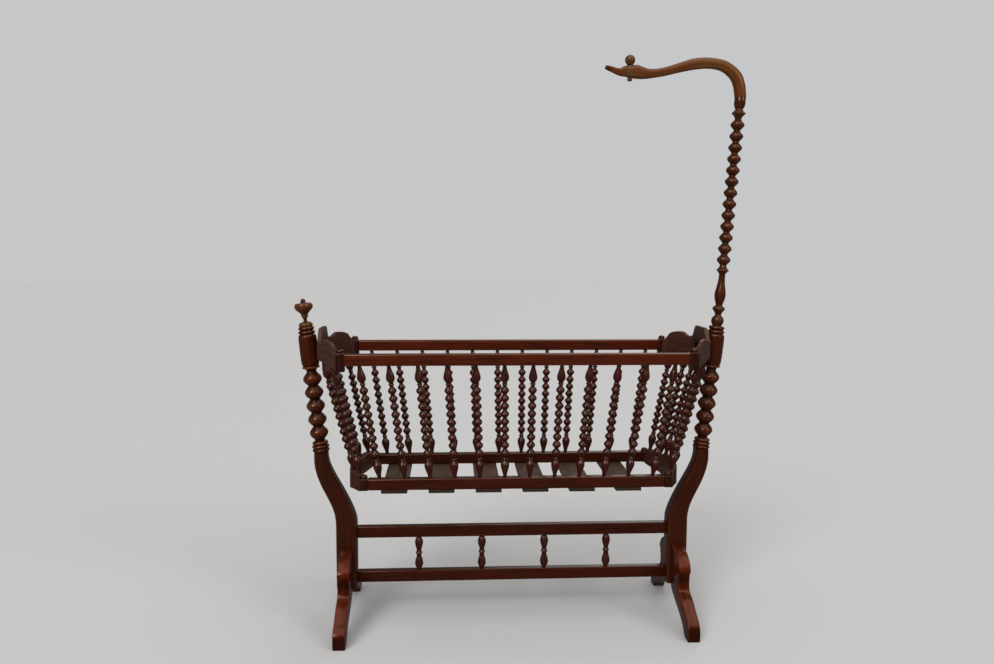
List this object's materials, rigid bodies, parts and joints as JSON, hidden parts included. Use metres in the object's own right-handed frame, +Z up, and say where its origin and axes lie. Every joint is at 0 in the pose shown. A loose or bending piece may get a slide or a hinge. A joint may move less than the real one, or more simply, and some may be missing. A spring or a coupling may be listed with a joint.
{
  "type": "swinging cradle",
  "caption": "Swinging cradle with a slatted octagonal basket of bead-turned balusters, hung between beaded posts on S-shaped legs, with a tall pole and swan-neck curtain arm.",
  "frame": {"origin": "middle of the whole outline on the floor: the floor under the four feet is Z = 0, and X = 0 and Y = 0 are the middle of the overall box; the stand's own middle is at X = -0.0169 because the canopy arm leans out on the right", "axes": "+X along the cradle towards the tall pole, +Y towards the back, away from the viewer of the picture, +Z up"},
  "size_m": [1.2989, 0.4362, 1.644],
  "materials": {
    "stand_wood": "dark red-brown hardwood, glossy varnish",
    "turned_wood": "dark red-brown turned hardwood, glossy varnish",
    "rail_wood": "red-brown hardwood, glossy varnish",
    "board_wood": "dull grey-brown varnished hardwood",
    "pale_wood": "lighter honey-brown carved hardwood, satin",
    "dowel_wood": "plain beech dowels",
    "slat_wood": "plain greyish-brown boards",
    "pivot_iron": "dark worn iron",
    "nail_iron": "dark iron nails"
  },
  "bodies": {
    "stand": {"left_leg": "stand_wood", "right_leg": "stand_wood", "left_post": "stand_wood", "right_post": "stand_wood", "finial": "pale_wood", "front_left_foot": "stand_wood", "back_left_foot": "stand_wood", "front_right_foot": "stand_wood", "back_right_foot": "stand_wood", "foot_dowels": "dowel_wood", "upper_stretcher": "rail_wood", "lower_stretcher": "rail_wood", "stretcher_spindle_1": "turned_wood", "stretcher_spindle_2": "turned_wood", "stretcher_spindle_3": "turned_wood", "stretcher_spindle_4": "turned_wood", "left_pivot_pin": "pivot_iron", "right_pivot_pin": "pivot_iron"},
    "basket": {"front_top_rail": "rail_wood", "back_top_rail": "rail_wood", "front_bottom_rail": "rail_wood", "back_bottom_rail": "rail_wood", "front_left_top_block": "board_wood", "back_left_top_block": "board_wood", "front_right_top_block": "board_wood", "back_right_top_block": "board_wood", "front_left_bottom_block": "board_wood", "back_left_bottom_block": "board_wood", "front_right_bottom_block": "board_wood", "back_right_bottom_block": "board_wood", "left_end_board": "board_wood", "right_end_board": "board_wood", "left_bottom_board": "board_wood", "right_bottom_board": "board_wood", "front_left_top_wing": "board_wood", "back_left_top_wing": "board_wood", "front_right_top_wing": "board_wood", "back_right_top_wing": "board_wood", "front_left_bottom_wing": "board_wood", "back_left_bottom_wing": "board_wood", "front_right_bottom_wing": "board_wood", "back_right_bottom_wing": "board_wood", "left_pivot_bush": "pivot_iron", "right_pivot_bush": "pivot_iron", "front_balusters": "turned_wood", "back_balusters": "turned_wood", "left_end_balusters": "turned_wood", "right_end_balusters": "turned_wood", "slat_1": "slat_wood", "slat_2": "slat_wood", "slat_3": "slat_wood", "slat_4": "slat_wood", "slat_5": "slat_wood", "slat_6": "slat_wood", "slat_nails": "nail_iron"},
    "canopy_arm": {"pole": "stand_wood", "swan_neck": "pale_wood", "curtain_peg": "pale_wood"}
  },
  "joints": [
    {"name": "basket_swing", "type": "hinge", "parent": "stand", "child": "basket", "pos_m": [-0.0169, 0, 0.82], "axis": [1, 0, 0], "range_deg": [-40, 40]},
    {"name": "canopy_turn", "type": "hinge", "parent": "stand", "child": "canopy_arm", "pos_m": [0.58403, 0, 0.86904], "axis": [0.0732, 0, 0.9973], "continuous": true}
  ]
}
